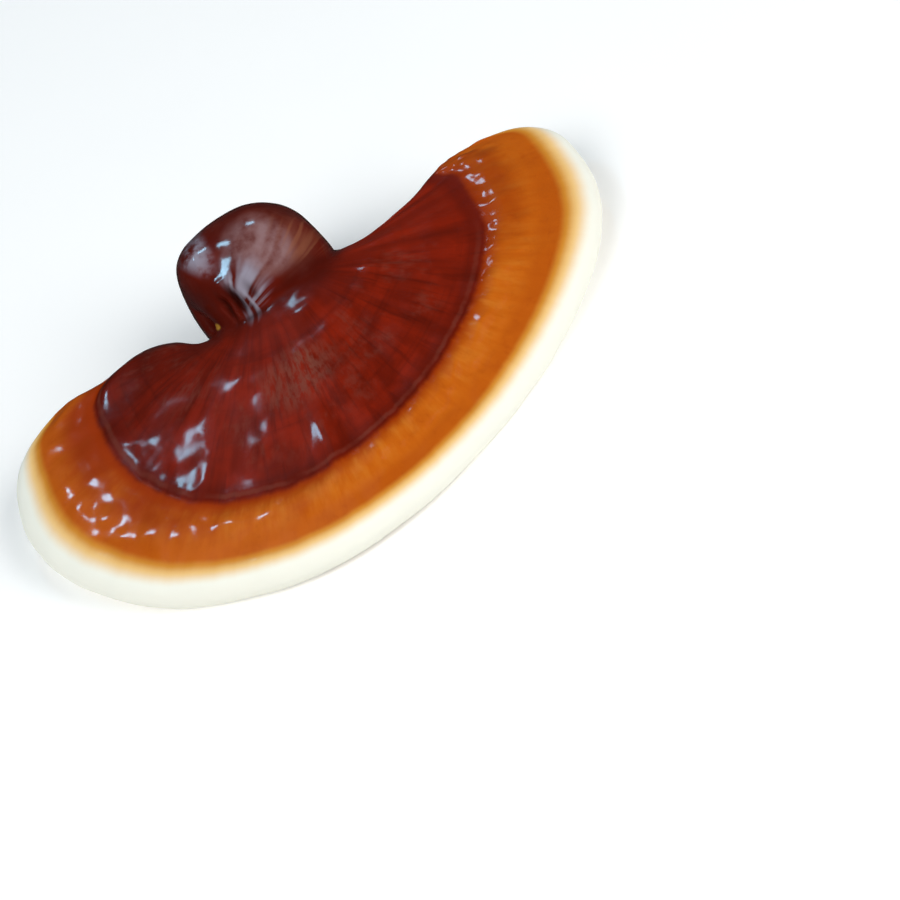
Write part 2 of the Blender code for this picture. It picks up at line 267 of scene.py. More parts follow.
# Lights: (name, azimuth, elevation, distance, size, watts, tint, seen in reflections).
LIGHTS = (
    ("window", -131, 56, 1.2, (0.11, 0.16), 1.2, WINDOW_TINT, True),
    ("back_window", 172, 55, 1.2, (0.12, 0.15), 0.85, WINDOW_TINT, True),
    ("left_fill", -55, 50, 1.3, (0.9, 0.9), 11.3, WHITE, False),
    ("right_fill", 60, 38, 1.3, (0.9, 0.9), 13.0, WHITE, False),
)
# A soft glow of the surroundings, behind and above: its azimuth and elevation, and the cosines of its edge
# and of its full strength.
GLOW = (-150, 82)
GLOW_COSINES = (0.92, 0.995)
# The floor lies this far under the mushroom, in mm, so that their faces don't meet.
FLOOR_GAP = 0.2
FLOOR_ROUGHNESS = 0.9
# The floor's grain goes from its colour up to this share of the way to this grey.
FLOOR_SHADE = (0.7, 0.7, 0.7)
FLOOR_SHADE_SHARE = 0.03


def smooth(x):
    """0 below 0, 1 above 1, and an even rise between."""
    x = np.clip(x, 0.0, 1.0)
    return x * x * (3 - 2 * x)


def ramp(x, start, end):
    """0 up to the start, 1 from the end on."""
    return smooth((x - start) / (end - start))


def between(x, rise, fall):
    """0 outside, and 1 from the end of the rise to the start of the fall."""
    return ramp(x, *rise) * (1 - ramp(x, *fall))


def bump(x, middle, half_width):
    """1 at the middle, falling off to both sides."""
    return np.exp(-(((x - middle) / half_width) ** 2))


def through(x, knots, values):
    """A smooth curve through the values at the knots, read at x."""
    knots = np.asarray(knots, float)
    values = np.asarray(values, float)
    slopes = np.gradient(values, knots, axis=0)
    i = np.clip(np.searchsorted(knots, x, side="right") - 1, 0, len(knots) - 2)
    step = knots[i + 1] - knots[i]
    u = (x - knots[i]) / step
    if values.ndim == 2:
        u, step = u[..., None], step[..., None]
    return (
        (2 * u**3 - 3 * u**2 + 1) * values[i]
        + (u**3 - 2 * u**2 + u) * step * slopes[i]
        + (3 * u**2 - 2 * u**3) * values[i + 1]
        + (u**3 - u**2) * step * slopes[i + 1]
    )


def noise(x, y, z, seed):
    """Smooth noise from about -1 to 1, in lumps about one unit wide."""
    slopes = np.random.default_rng(seed).normal(size=(NOISE_CELLS, NOISE_CELLS, NOISE_CELLS, 3))
    slopes /= np.linalg.norm(slopes, axis=-1, keepdims=True)
    spot = np.stack(np.broadcast_arrays(x, y, z), axis=-1)
    cell = np.floor(spot).astype(int)
    part = spot - cell
    ease = part**3 * (part * (part * 6 - 15) + 10)
    total = 0.0
    for corner in np.ndindex(2, 2, 2):
        i, j, k = np.moveaxis((cell + corner) % NOISE_CELLS, -1, 0)
        weight = np.where(corner, ease, 1 - ease).prod(axis=-1)
        total = total + weight * (slopes[i, j, k] * (part - corner)).sum(axis=-1)
    return total * NOISE_GAIN


def lump_noise(points, width, seed):
    """Lumps of a width in millimetres."""
    return noise(*np.moveaxis(points / width, -1, 0), seed)


def mixed_lumps(points, coarse, fine, share, seed, fine_seed):
    """Coarse lumps with a share of finer ones."""
    return lump_noise(points, coarse, seed) + share * lump_noise(points, fine, fine_seed)


def grown_noise(column, way, across, along, seed):
    """Noise in cells that are counted across the columns and along the way."""
    return noise(column * across, way * along, 0, seed)


def rim_at(share):
    """The lip's plan at a share of its length, -1 at the left back corner and 1 at the right."""
    fine = through(np.linspace(-1, 1, RIM_SAMPLES), np.linspace(-1, 1, len(RIM)), RIM)
    run = np.concatenate([[0], np.cumsum(np.linalg.norm(np.diff(fine, axis=0), axis=1))])
    run = run / run[-1] * 2 - 1
    return np.stack([np.interp(share, run, fine[:, axis]) for axis in (0, 1)], axis=-1)


def rail(points, growth):
    """A value that runs through evenly spaced points from the cut to the crease."""
    return through(growth, np.linspace(0, 1, len(points)), points)


def stalk_surface(growth, column, above):
    """Points on the stalk and elbow. Growth is 0 at the cut and 1 at the crease where the cap begins."""
    angle = column * np.pi / 2
    growth = growth + SOONER * column * bump(growth, *SOONER_ABOUT) * ramp(growth, *SOONER_FADE)
    power = 2 / rail(SQUARENESS, growth)
    across = np.sign(angle) * np.abs(np.sin(angle)) ** power
    out = np.abs(np.cos(angle)) ** power
    side = rail(SIDE_RAIL, growth)
    far = np.where(above[..., None], rail(OUTER_RAIL, growth), rail(INNER_RAIL, growth))
    yz = side + (far - side) * out[..., None]
    yz[..., 0] += rail(SKEW, growth) * across
    x = rail(STALK_CENTRE, growth) + rail(STALK_HALF_WIDTH, growth) * across
    return np.concatenate([x[..., None], yz], axis=-1)


def fan_surface(growth, column, above):
    """Points on the cap. Growth is 1 at the crease and 2 at the lip."""
    way = growth - 1
    lip = np.sqrt(1 - ((way - LIP_START) / (1 - LIP_START)).clip(0, 1) ** 2)
    turn = ((np.abs(column) - EDGE_COLUMN) / (1 - EDGE_COLUMN)).clip(0, 1) * np.pi / 2
    flat_share = column / EDGE_COLUMN * EDGE_SHARE
    edge_share = np.sign(column) * (EDGE_SHARE + (1 - EDGE_SHARE) * np.sin(turn))
    share = np.where(np.abs(column) <= EDGE_COLUMN, flat_share, edge_share)

    zone = through(column, BOUNDARY_AT, BOUNDARY_SHARE) - BOUNDARY
    out = way + zone * way * (1 - way) / (BOUNDARY * (1 - BOUNDARY))
    crease = stalk_surface(np.ones_like(growth), column, above)
    plan = crease[..., :2] * (1 - out)[..., None] + rim_at(share) * out[..., None]
    swell = np.where(column < 0, through(out, SWELL_AT, SWELL_LEFT), through(out, SWELL_AT, SWELL_RIGHT))
    plan[..., 1] += swell * ((np.abs(column) - SWELL_FROM) / (1 - SWELL_FROM)).clip(0, 1) ** 2

    start = SIDE_RAIL[-1][1]
    droop = (smooth(out) + out**DROOP_POWER) / 2
    middle = start + (through(share, LIFT_AT, LIFT) + LIP_HALF - start) * droop
    thinning = out**THINNING_POWER
    half = np.abs(crease[..., 2] - start) * (1 - thinning) + LIP_HALF * np.cos(turn) * thinning
    height = middle + np.where(above, half, -half) * lip
    return np.concatenate([plan, height[..., None]], axis=-1)


def surface(growth, column, above):
    """Points on stalk and cap together, with the notches at the crease's two ends rounded out."""
    middle, ends = CREASE_ROUNDING
    sides = 1 - np.cos(column * np.pi / 2) ** CREASE_POWER
    reach = (middle + (ends - middle) * sides) * bump(growth, 1.0, CREASE_REACH)
    total = np.zeros(growth.shape + (3,))
    for step, weight in enumerate(SOFTENING, -(len(SOFTENING) // 2)):
        at = (growth + step * reach).clip(0, 2)
        stalk = stalk_surface(at.clip(0, 1), column, above)
        fan = fan_surface(at.clip(1, 2), column, above)
        total += weight / sum(SOFTENING) * np.where((at < 1)[..., None], stalk, fan)
    return total


def outward(points):
    """Unit vectors out of the surface, from a grid of rings whose columns run round and close."""
    along = np.gradient(points, axis=0)
    around = np.roll(points, -1, axis=1) - np.roll(points, 1, axis=1)
    normal = np.cross(along, around)
    return normal / np.linalg.norm(normal, axis=-1, keepdims=True).clip(1e-9)


def bumps(places, growth, column):
    """The sum of the heights, in millimetres, of lumps at the places."""
    return sum(
        height * bump(growth, at, half_length) * bump(column, side, half_width)
        for at, side, half_length, half_width, height in places
    )


def ribs(way, column):
    """Irregular ribs along the growth of the right wing, from about -1 to 1."""
    waves = sum(
        share * np.sin(rate * column + drift * way + phase) for rate, drift, phase, share in RIB_WAVES
    )
    return waves * between(column, WING_START, WING_END) * between(way, RIB_START, DARK_ZONE_END)


def roll(way, column, width):
    """The roll along the middle of the band."""
    return bump(way, through(column, ROLL_AT, ROLL_PLACE), width)


def broad_relief(form, growth, column, above):
    """The relief that the solid has too: groove, shoulder, rolls, lobes, valley, ribs, lumps and creases."""
    way = growth - 1
    groove = -form.groove_depth * bump(way, BOUNDARY, GROOVE_WIDTH)
    middle, half_width, share = SHOULDER_DIP
    shoulder = form.shoulder_height * between(way, SHOULDER_RISE, SHOULDER_FALL)
    shoulder = shoulder * (1 - share * bump(column, middle, half_width))
    rolls = form.roll_height * roll(way, column, ROLL_WIDTH)
    rolls = rolls + form.inner_roll * bump(way, INNER_ROLL, ROLL_WIDTH)
    waves = sum(share * np.sin(rate * column + phase) for rate, phase, share in LOBE_WAVES)
    lobes = form.lobe_height * waves * between(way, DARK_ZONE_START, LOBE_FADE)
    valley = -VALLEY_DEPTH * MM * bump(column, VALLEY_COLUMN, VALLEY_WIDTH)
    valley = valley * between(way, DARK_ZONE_START, DARK_ZONE_END)
    rise = groove + shoulder + rolls + lobes + valley
    rise = rise * (1 - ramp(np.abs(column), *TOP_FADE)) + form.rib_height * ribs(way, column)
    rise = rise / MM + bumps(LUMPS, growth, column) - bumps(CREASES, growth, column)
    return rise * above


def fine_relief(form, points, growth, column, above):
    """Lumps, wrinkles, pleats, dimples, a crest and swells that are too fine for the plain solid."""
    way = growth - 1
    knob = 1 - ramp(way, *KNOB_END)
    lumps = mixed_lumps(points, *CAP_LUMPS) * (1 - knob)
    lumps = lumps + KNOB_LOWER * mixed_lumps(points, *KNOB_LUMPS) * knob
    wrinkles = grown_noise(column, way, *WRINKLES)
    wrinkles = wrinkles + FINE_WRINKLE_SHARE * grown_noise(column, way, *FINE_WRINKLES)
    wrinkles = wrinkles * between(way, WRINKLE_START, DARK_ZONE_END) * ramp(column, *WRINKLE_COLUMNS)
    pleats = grown_noise(column, way, *PLEATS) * between(way, PLEAT_START, PLEAT_END)
    dimples = lump_noise(points, *DIMPLES) * between(way, DIMPLE_START, CRUST_END)
    rise = (
        bumps(SMALL_LUMPS, growth, column)
        + form.lump_height / MM * lumps * (1 - ramp(way, *CRUST_END))
        + form.wrinkle_height / MM * wrinkles
        + form.pleat_height / MM * pleats * ramp(column, *PLEAT_COLUMNS)
        + form.dimple_height / MM * dimples * ramp(column, *DIMPLE_COLUMNS)
        + form.crest_height / MM * roll(way, column, CREST_WIDTH) * (1 - ramp(np.abs(column), *TOP_FADE))
    )
    calm = EDGE_CALM * ramp(np.abs(column), *EDGE_CALM_COLUMNS) * ramp(way, *EDGE_CALM_START)
    swells = mixed_lumps(points, *LIP_SWELLS) * np.where(above, ramp(way, *SWELLS_START), 1.0)
    return rise * above * (1 - calm) + form.lip_swell / MM * swells


def ring_growths(form):
    """Growth of each ring, from the cut to the lip's tip."""
    parts = [np.linspace(a, b, int(form.rings * share), endpoint=False) for a, b, share in RING_SHARES]
    turn = np.linspace(0, np.pi / 2, form.rings - sum(len(part) for part in parts))
    parts.append(1 + LIP_START + (1 - LIP_START) * np.sin(turn))
    return np.concatenate(parts)


def body_points(form):
    """The grid of points with its growth and column values, ring by ring, the upper columns first."""
    upper = np.linspace(-1, 1, form.columns + 1)
    lower = np.linspace(1, -1, form.columns // UNDERSIDE_STEP + 1)[1:-1]
    column, growth = np.meshgrid(np.concatenate([upper, lower]), ring_growths(form))
    above = np.broadcast_to(np.arange(column.shape[1])[None, :] <= form.columns, column.shape)
    points = surface(growth, column, above)
    rise = broad_relief(form, growth, column, above) + fine_relief(form, points, growth, column, above)
    points += outward(points) * (rise * ramp(growth, 0.0, RELIEF_START))[..., None]
    points[..., 2] = points[..., 2].clip(0)
    return points, growth, column, above


def side_faces(form, index, tip):
    """Faces between the rings and on to the seam of points along the lip's tip."""
    after = np.roll(index, -1, axis=1)
    faces = np.stack([index[:-1], after[:-1], after[1:], index[1:]], axis=-1).reshape(-1, 4).tolist()
    last = index[-1]
    faces += [(last[j], last[j + 1], tip[j + 1], tip[j]) for j in range(form.columns)]
    below = np.append(last[form.columns:], last[0])
    for j in range(form.columns // UNDERSIDE_STEP):
        end = form.columns - j * UNDERSIDE_STEP
        faces.append((below[j], below[j + 1], *tip[end - UNDERSIDE_STEP : end + 1]))
    return faces


def body_mesh(form):
    """Skins the rings, closes the lip with a seam along its tip, and fills the cut with shrinking rings."""
    points, growth, column, above = body_points(form)
    rings, around = growth.shape
    upper = form.columns + 1
    index = np.arange((rings - 1) * around).reshape(rings - 1, around)
    faces = side_faces(form, index, index.size + np.arange(upper))

    cells = [points[:-1].reshape(-1, 3), points[-1, :upper]]
    growths = [growth[:-1].ravel(), growth[-1, :upper]]
    columns = [column[:-1].ravel(), column[-1, :upper]]
    unders = [1.0 - above[:-1].ravel(), np.zeros(upper)]
    centre = points[0].mean(axis=0)
    outer, count = index[0], index.size + upper
    for depth in np.linspace(0, 1, form.cut_rings + 1)[1:]:
        inner = count + np.arange(around)
        faces += np.stack([outer, inner, np.roll(inner, -1), np.roll(outer, -1)], axis=-1).tolist()
        cells.append(centre + (points[0] - centre) * (1 - (1 - CUT_CORE) * depth))
        growths.append(np.full(around, -depth))
        columns.append(column[0])
        unders.append(np.zeros(around))
        outer, count = inner, count + around
    faces.append(outer[::-1].tolist())

    cells, growths, columns, unders = (np.concatenate(part) for part in (cells, growths, columns, unders))
    low, high = cells.min(axis=0), cells.max(axis=0)
    shift = np.array([(low[0] + high[0]) / 2, (low[1] + high[1]) / 2, 0.0])
    mesh = bpy.data.meshes.new(PIECE)
    mesh.from_pydata(((cells - shift) * MM).tolist(), [], faces)
    # How deep each point lies in a crease, the neck or a trough between the ribs: the finish paints shade
    # there and dulls the lacquer.
    hollow = bumps((*CREASES, NECK), growths, columns) + TROUGH_SHARE * (-ribs(growths - 1, columns)).clip(0)
    values = {
        "growth": growths,
        "column": columns,
        "under": unders,
        "hollow": hollow.clip(0, 1) * (1 - unders),
        "margin": through(columns, MARGIN_AT, MARGIN),
    }
    for name, numbers in values.items():
        layer = mesh.attributes.new(name, "FLOAT", "POINT")
        layer.data.foreach_set("value", np.ascontiguousarray(numbers, np.float32))
    mesh.update()
    mesh.shade_smooth()
    mesh.set_sharp_from_angle(angle=np.radians(SHARP_EDGE))
    return mesh, shift


class Graph:
    """A short way to write nodes."""

    def __init__(self, tree):
        self.tree = tree

    def node(self, kind, **settings):
        made = self.tree.nodes.new("ShaderNode" + kind)
        for key, value in settings.items():
            setattr(made, key, value)
        return made

    def link(self, source, socket):
        if isinstance(source, bpy.types.NodeSocket):
            self.tree.links.new(source, socket)
        elif isinstance(source, (int, float)):
            socket.default_value = source
        elif len(socket.default_value) == 4:
            socket.default_value = (*source, 1.0)
        else:
            socket.default_value = source

    def value(self, name):
        return self.node("Attribute", attribute_name=name).outputs["Fac"]

    def math(self, operation, *inputs):
        made = self.node("Math", operation=operation)
        for source, socket in zip(inputs, made.inputs):
            self.link(source, socket)
        return made.outputs[0]

    def add(self, first, second):
        return self.math("ADD", first, second)

    def times(self, first, second):
        return self.math("MULTIPLY", first, second)

    def no(self, mask):
        return self.math("SUBTRACT", 1.0, mask)

    def ramp(self, source, low, high, most=1.0):
        """0 up to low and the most from high on. High may be the smaller of the two."""
        made = self.node("MapRange", interpolation_type="SMOOTHSTEP")
        for item, socket in zip((source, low, high, 0.0, most), made.inputs):
            self.link(item, socket)
        return made.outputs["Result"]

    def noise(self, vector, scale=1.0, detail=2.0, roughness=0.5):
        made = self.node("TexNoise", noise_dimensions="3D")
        self.link(vector, made.inputs["Vector"])
        made.inputs["Scale"].default_value = scale
        made.inputs["Detail"].default_value = detail
        made.inputs["Roughness"].default_value = roughness
        return made.outputs["Fac"]

    def grown_noise(self, column, way, across, along, seed, detail=3.0):
        """Noise in cells that are counted across the columns and along the growth."""
        made = self.node("CombineXYZ")
        for source, socket in zip((self.times(column, across), self.times(way, along), seed), made.inputs):
            self.link(source, socket)
        return self.noise(made.outputs[0], detail=detail, roughness=0.6)

    def patch(self, at, way, column, long, wide, most=1.0):
        """The most at a place, falling to 0 at a half length along the growth and a half width across it."""
        made = self.node("CombineXYZ")
        self.link(self.math("DIVIDE", self.add(at.way, -way), long), made.inputs[0])
        self.link(self.math("DIVIDE", self.add(at.column, -column), wide), made.inputs[1])
        reach = self.node("VectorMath", operation="LENGTH")
        self.link(made.outputs[0], reach.inputs[0])
        return self.ramp(reach.outputs["Value"], 1.0, 0.4, most)

    def mix(self, factor, first, second):
        made = self.node("Mix", data_type="RGBA")
        self.link(factor, made.inputs["Factor"])
        self.link(first, made.inputs[6])
        self.link(second, made.inputs[7])
        return made.outputs[2]


def srgb(red, green, blue):
    """A colour read in a picture, 0 to 255, as linear light."""
    values = np.array([red, green, blue]) / 255
    linear = np.where(values <= 0.04045, values / 12.92, ((values + 0.055) / 1.055) ** 2.4)
    return tuple(float(v) for v in linear)


def crust_colour(g, colours, at):
    """The lacquered inner zone and stalk: dark red-brown with faint streaks along the growth, brown dust that
    is partly painted sheen, and painted shade in the hollows.
    """
    fan = g.ramp(at.way, -0.06, 0.15)
    broad = g.grown_noise(at.column, at.way, 13.0, 1.4, 0.0)
    thin = g.grown_noise(at.column, at.way, 46.0, 4.0, 5.0)
    rings = g.grown_noise(at.column, at.way, 1.5, 24.0, 11.0)
    crust = g.mix(g.ramp(at.blotches, 0.40, 0.68, 0.75), colours.crust_dark, colours.crust_red)
    crust = g.mix(g.times(fan, g.ramp(broad, 0.40, 0.68, 0.6)), crust, colours.crust_red)
    crust = g.mix(g.times(fan, g.ramp(thin, 0.48, 0.70, 0.5)), crust, colours.crust_deep)
    crust = g.mix(g.times(fan, g.ramp(rings, 0.50, 0.72, 0.35)), crust, colours.crust_deep)
    crust = g.mix(g.ramp(at.column, -0.35, -0.95, 0.5), crust, colours.crust_deep)
    # Brown dust on the dark zone and a patch in its middle, partly painted sheen that stands for soft
    # reflections on the bumps.
    mottled_bloom_and_sheen = g.times(g.grown_noise(at.column, at.way, 9.0, 5.0, 31.0), g.add(at.mottle, 0.5))
    zone = g.times(g.ramp(at.way, 0.10, 0.22), g.ramp(at.way, 0.58, 0.42, 0.3))
    bloom_and_sheen_mask = g.add(g.times(zone, g.ramp(mottled_bloom_and_sheen, 0.46, 0.70)), g.patch(at, 0.26, -0.09, 0.13, 0.2, 0.55))
    specks = g.grown_noise(at.column, at.way, 60.0, 22.0, 27.0)
    crust = g.mix(g.times(bloom_and_sheen_mask, g.ramp(specks, 0.34, 0.62)), crust, colours.bloom_and_sheen_brown)
    crust = g.mix(g.times(fan, g.ramp(at.column, 0.35, 0.75, 0.6)), crust, colours.crust_red)
    crust = g.mix(g.ramp(at.edge, 0.530, 0.580, 0.45), crust, colours.crust_deep)
    # A ring of dull bloom inside the groove, partly painted sheen of a soft reflection on a low ridge.
    ring = g.times(g.ramp(at.edge, 0.580, 0.592), g.ramp(at.edge, 0.610, 0.598, 0.42))
    ring = g.times(ring, g.ramp(at.column, 0.75, 0.30))
    crust = g.mix(g.times(ring, g.ramp(at.blotches, 0.34, 0.62)), crust, colours.bloom_and_sheen_brown)
    crust = crown_colour(g, colours, at, crust)
    # Painted shade at the bottom of the creases, in the neck and between the ribs.
    return g.mix(g.times(g.value("hollow"), 0.85), crust, colours.painted_crease_shade)


def crown_colour(g, colours, at, crust):
    """The elbow: darker than the cap, with a bloom that is partly painted sheen, streaks that fan out from
    the neck, painted highlights on them and on its folds, and an amber spot.
    """
    crust = g.mix(g.ramp(at.way, 0.12, -0.06, 0.65), crust, colours.crust_deep)
    stray = g.math("MULTIPLY_ADD", at.blotches, 0.5, -0.25)
    way, column = g.add(at.way, g.times(stray, 0.5)), g.add(at.column, stray)
    crown = g.times(g.ramp(way, -0.50, -0.32), g.ramp(way, -0.08, -0.20))
    crown = g.times(crown, g.ramp(column, -0.22, 0.0))
    across = g.add(g.add(at.column, g.times(stray, 0.3)), -FAN_COLUMN)
    turn = g.math("ARCTAN2", g.times(at.way, -FAN_STRETCH), across)
    streaks = g.grown_noise(turn, at.way, 8.0, 4.0, 21.0, 1.0)
    fibres = g.add(g.times(streaks, 0.5), g.add(g.times(at.blotches, 0.3), g.times(at.mottle, 0.2)))
    # Bloom on the elbow's crown, partly painted sheen: brown along the fibres, grey on a patch.
    brown = g.times(g.times(crown, g.ramp(column, 0.75, 0.2)), g.ramp(fibres, 0.25, 0.62, 0.9))
    crust = g.mix(brown, crust, colours.bloom_and_sheen_brown)
    grey = g.times(g.patch(at, -0.29, 0.09, 0.17, 0.29, 0.9), g.ramp(fibres, 0.30, 0.60))
    crust = g.mix(grey, crust, colours.bloom_and_sheen_grey)
    clouds = g.add(g.times(at.blotches, 0.5), g.times(at.mottle, 0.5))
    # A soft reflection on the elbow's left flank, painted as a grey-blue patch, partly bloom.
    flank = g.times(g.patch(at, -0.50, -0.37, 0.25, 0.22, 0.9), g.ramp(clouds, 0.37, 0.61))
    crust = g.mix(flank, crust, colours.bloom_and_highlight_blue)
    # Painted highlights along the streaks that fan out over the neck.
    pale = g.times(g.patch(at, -0.19, -0.16, 0.17, 0.21, 0.9), g.ramp(streaks, 0.38, 0.62))
    crust = g.mix(pale, crust, colours.bloom_and_highlight_blue)
    # Painted highlights on the folds beside the neck's creases.
    fold_highlights = g.grown_noise(at.column, at.way, 11.0, 2.0, 25.0, 1.0)
    fold_highlights = g.times(g.patch(at, -0.08, -0.27, 0.12, 0.14, 0.85), g.ramp(fold_highlights, 0.46, 0.61))
    crust = g.mix(fold_highlights, crust, colours.bloom_and_highlight_blue)
    wrinkles = g.grown_noise(turn, at.way, 14.0, 3.0, 23.0, 1.0)
    ridges = g.times(g.ramp(at.way, -0.40, -0.3), g.ramp(at.way, -0.12, -0.2))
    ridges = g.times(ridges, g.ramp(column, 0.1, 0.35))
    crust = g.mix(g.times(ridges, g.ramp(wrinkles, 0.50, 0.68, 0.42)), crust, colours.crown_tan)
    crust = g.mix(g.patch(at, -0.06, 0.32, 0.16, 0.45, 0.7), crust, colours.crust_deep)
    return g.mix(g.patch(at, -0.045, -0.84, 0.035, 0.10), crust, colours.amber)


def band_colour(g, colours, at):
    """The orange band: burnt next to the groove, light pleats, darker and redder outside and on the left."""
    pleats = g.grown_noise(at.column, at.way, 50.0, 5.0, 9.0)
    wide = g.grown_noise(at.column, at.way, 9.0, 3.0, 17.0)
    band = g.mix(g.ramp(at.edge, 0.618, 0.70), colours.band_burnt, colours.band_orange)
    light = g.times(g.ramp(at.way, 0.63, 0.68), g.ramp(at.way, 0.84, 0.72))
    band = g.mix(g.times(light, g.ramp(pleats, 0.42, 0.72, 0.4)), band, colours.band_light)
    band = g.mix(g.ramp(pleats, 0.52, 0.30, 0.3), band, colours.band_outer)
    band = g.mix(g.times(g.ramp(at.way, 0.77, 0.83, 0.55), g.ramp(wide, 0.25, 0.6)), band, colours.band_outer)
    left = g.add(at.column, g.math("MULTIPLY_ADD", at.blotches, 0.8, -0.4))
    burnt = g.times(g.ramp(left, 0.05, -0.75, 0.95), g.ramp(at.way, 0.86, 0.70))
    band = g.mix(burnt, band, colours.band_burnt)
    right = g.times(g.ramp(at.column, 0.45, 0.70, 0.65), g.ramp(at.way, 0.82, 0.71))
    band = g.mix(right, band, colours.band_burnt)
    return g.mix(g.ramp(at.mottle, 0.5, 0.8, 0.2), band, colours.band_burnt)


def margin_colour(g, colours, at, band):
    """The fade from the band over gold and cream to the white lip."""
    faded = g.mix(g.ramp(at.past, -0.060, -0.024), band, colours.golden)
    faded = g.mix(g.ramp(at.past, -0.034, 0.004), faded, colours.cream)
    return g.mix(g.ramp(at.past, -0.006, 0.052), faded, colours.lip_white)


def pore_colour(g, colours, at):
    """The pale pore surface below, stained towards the stalk."""
    layer = g.mix(g.ramp(at.pores, 0.42, 0.62), colours.pore_shade, colours.pore_cream)
    layer = g.mix(g.ramp(at.blotches, 0.4, 0.75, 0.5), layer, colours.pore_tan)
    layer = g.mix(g.ramp(at.way, 0.35, 0.0, 0.8), layer, colours.pore_tan)
    return g.mix(g.ramp(at.way, 0.86, 0.95), layer, colours.lip_white)


def cut_colour(g, colours, at):
    """Corky flesh in the cut, with fibres out from its middle and darker rings."""
    fibres = g.grown_noise(at.column, at.depth, 9.0, 30.0, 0.0)
    rings = g.grown_noise(at.column, at.depth, 1.0, 9.0, 4.0)
    flesh = g.mix(g.ramp(fibres, 0.35, 0.7), colours.flesh_tan, colours.flesh_brown)
    return g.mix(g.ramp(rings, 0.5, 0.7, 0.6), flesh, colours.flesh_brown)


class Places:
    """Where a point of the mushroom lies, as node values that the colours and the gloss share."""

    def __init__(self, g):
        growth = g.value("growth")
        self.column = g.value("column")
        self.way = g.math("SUBTRACT", growth, 1.0)
        self.depth = g.times(growth, -1.0)
        self.object = g.node("TexCoord").outputs["Object"]
        self.blotches = g.noise(self.object, *BLOTCHES)
        self.mottle = g.noise(self.object, *MOTTLE)
        self.pores = g.noise(self.object, *PORES)
        wander = g.math("MULTIPLY_ADD", g.grown_noise(self.column, 0.0, 24.0, 1.0, 3.0), 0.03, -0.015)
        corner = g.times(g.ramp(self.column, 0.60, 0.76), g.ramp(self.column, 0.94, 0.84, 0.024))
        self.edge = g.add(self.way, g.add(wander, corner))
        self.past = g.math("SUBTRACT", g.math("MULTIPLY_ADD", wander, 0.5, self.way), g.value("margin"))
        self.below = g.times(g.value("under"), g.ramp(self.way, 0.02, 0.10))
        self.cut = g.ramp(self.depth, 0.02, 0.06)


def mushroom_finish(colours, finish):
    """Dark red-brown lacquer, an orange band, a matte pale lip, a pored underside and a fibrous cut."""
    material = bpy.data.materials.new("reishi_finish")
    material.use_nodes = True
    g = Graph(material.node_tree)
    shader = material.node_tree.nodes["Principled BSDF"]
    at = Places(g)

    on_band = g.ramp(at.edge, 0.608, 0.636)
    top = g.mix(on_band, crust_colour(g, colours, at), band_colour(g, colours, at))
    top = margin_colour(g, colours, at, top)
    skin = g.mix(at.below, top, pore_colour(g, colours, at))
    g.link(g.mix(at.cut, skin, cut_colour(g, colours, at)), shader.inputs["Base Color"])

    matte = g.math("MAXIMUM", g.ramp(at.past, -0.03, 0.03), g.math("MAXIMUM", at.below, at.cut))
    shine = g.no(matte)
    dull = g.times(g.ramp(at.edge, 0.574, 0.588), g.ramp(at.edge, 0.670, 0.645, 0.97))
    dull = g.times(dull, g.ramp(at.column, 0.62, 0.40))
    dull = g.math("MAXIMUM", dull, g.ramp(g.value("hollow"), 0.3, 0.8))
    lacquer = g.math("MAXIMUM", on_band, g.ramp(at.way, 0.05, -0.15))
    lacquer = g.math("MULTIPLY_ADD", lacquer, finish.full_lacquer - finish.cap_lacquer, finish.cap_lacquer)
    lacquered = g.times(g.times(shine, lacquer), g.no(dull))
    g.link(lacquered, shader.inputs["Coat Weight"])
    step = finish.band_roughness - finish.crust_roughness
    under_lacquer = g.math("MULTIPLY_ADD", on_band, step, finish.crust_roughness)
    under_lacquer = g.add(under_lacquer, g.ramp(at.mottle, 0.4, 0.8, 0.1))
    rough = g.add(g.times(matte, finish.lip_roughness), g.times(shine, under_lacquer))
    g.link(rough, shader.inputs["Roughness"])
    shader.inputs["Coat Roughness"].default_value = finish.lacquer_roughness
    shader.inputs["Coat IOR"].default_value = LACQUER_IOR
    shader.inputs["Specular IOR Level"].default_value = BARE_SHINE

    orange_peel = g.times(g.noise(at.object, *ORANGE_PEEL), PEEL_SHARE)
    velvet = g.times(g.noise(at.object, *VELVET), VELVET_SHARE)
    height = g.mix(matte, orange_peel, velvet)
    height = g.mix(at.below, height, g.times(at.pores, PORE_SHARE))
    grain = g.node("Bump")
    grain.inputs["Strength"].default_value = GRAIN_STRENGTH
    grain.inputs["Distance"].default_value = finish.grain_height
    g.link(height, grain.inputs["Height"])
    g.link(grain.outputs["Normal"], shader.inputs["Normal"])
    return material


def plain_finish(name, colour, roughness, glow):
    """An even pale surface with a slight grain, which glows a little as a lit backdrop does."""
    material = bpy.data.materials.new(name)
    material.use_nodes = True
    g = Graph(material.node_tree)
    shader = material.node_tree.nodes["Principled BSDF"]
    grain = g.noise(g.node("TexCoord").outputs["Object"], *FLOOR_GRAIN)
    grain = g.ramp(grain, 0.2, 0.8, FLOOR_SHADE_SHARE)
    g.link(g.mix(grain, colour, FLOOR_SHADE), shader.inputs["Base Color"])
    shader.inputs["Roughness"].default_value = roughness
    shader.inputs["Emission Color"].default_value = (*WHITE, 1.0)
    shader.inputs["Emission Strength"].default_value = glow
    return material


def colour(name, description, *read):
    return FloatVectorProperty(
        name=name, description=description, default=srgb(*read), subtype="COLOR", size=3, min=0.0, max=1.0
    )


def length(name, description, default):
    return FloatProperty(
        name=name, description=description, default=default, subtype="DISTANCE", unit="LENGTH", min=0.0
    )


def factor(name, description, default):
    return FloatProperty(
        name=name, description=description, default=default, subtype="FACTOR", min=0.0, max=1.0
    )


def angle(name, description, degrees):
    value = float(np.radians(degrees))
    return FloatProperty(name=name, description=description, default=value, subtype="ANGLE", unit="ROTATION")


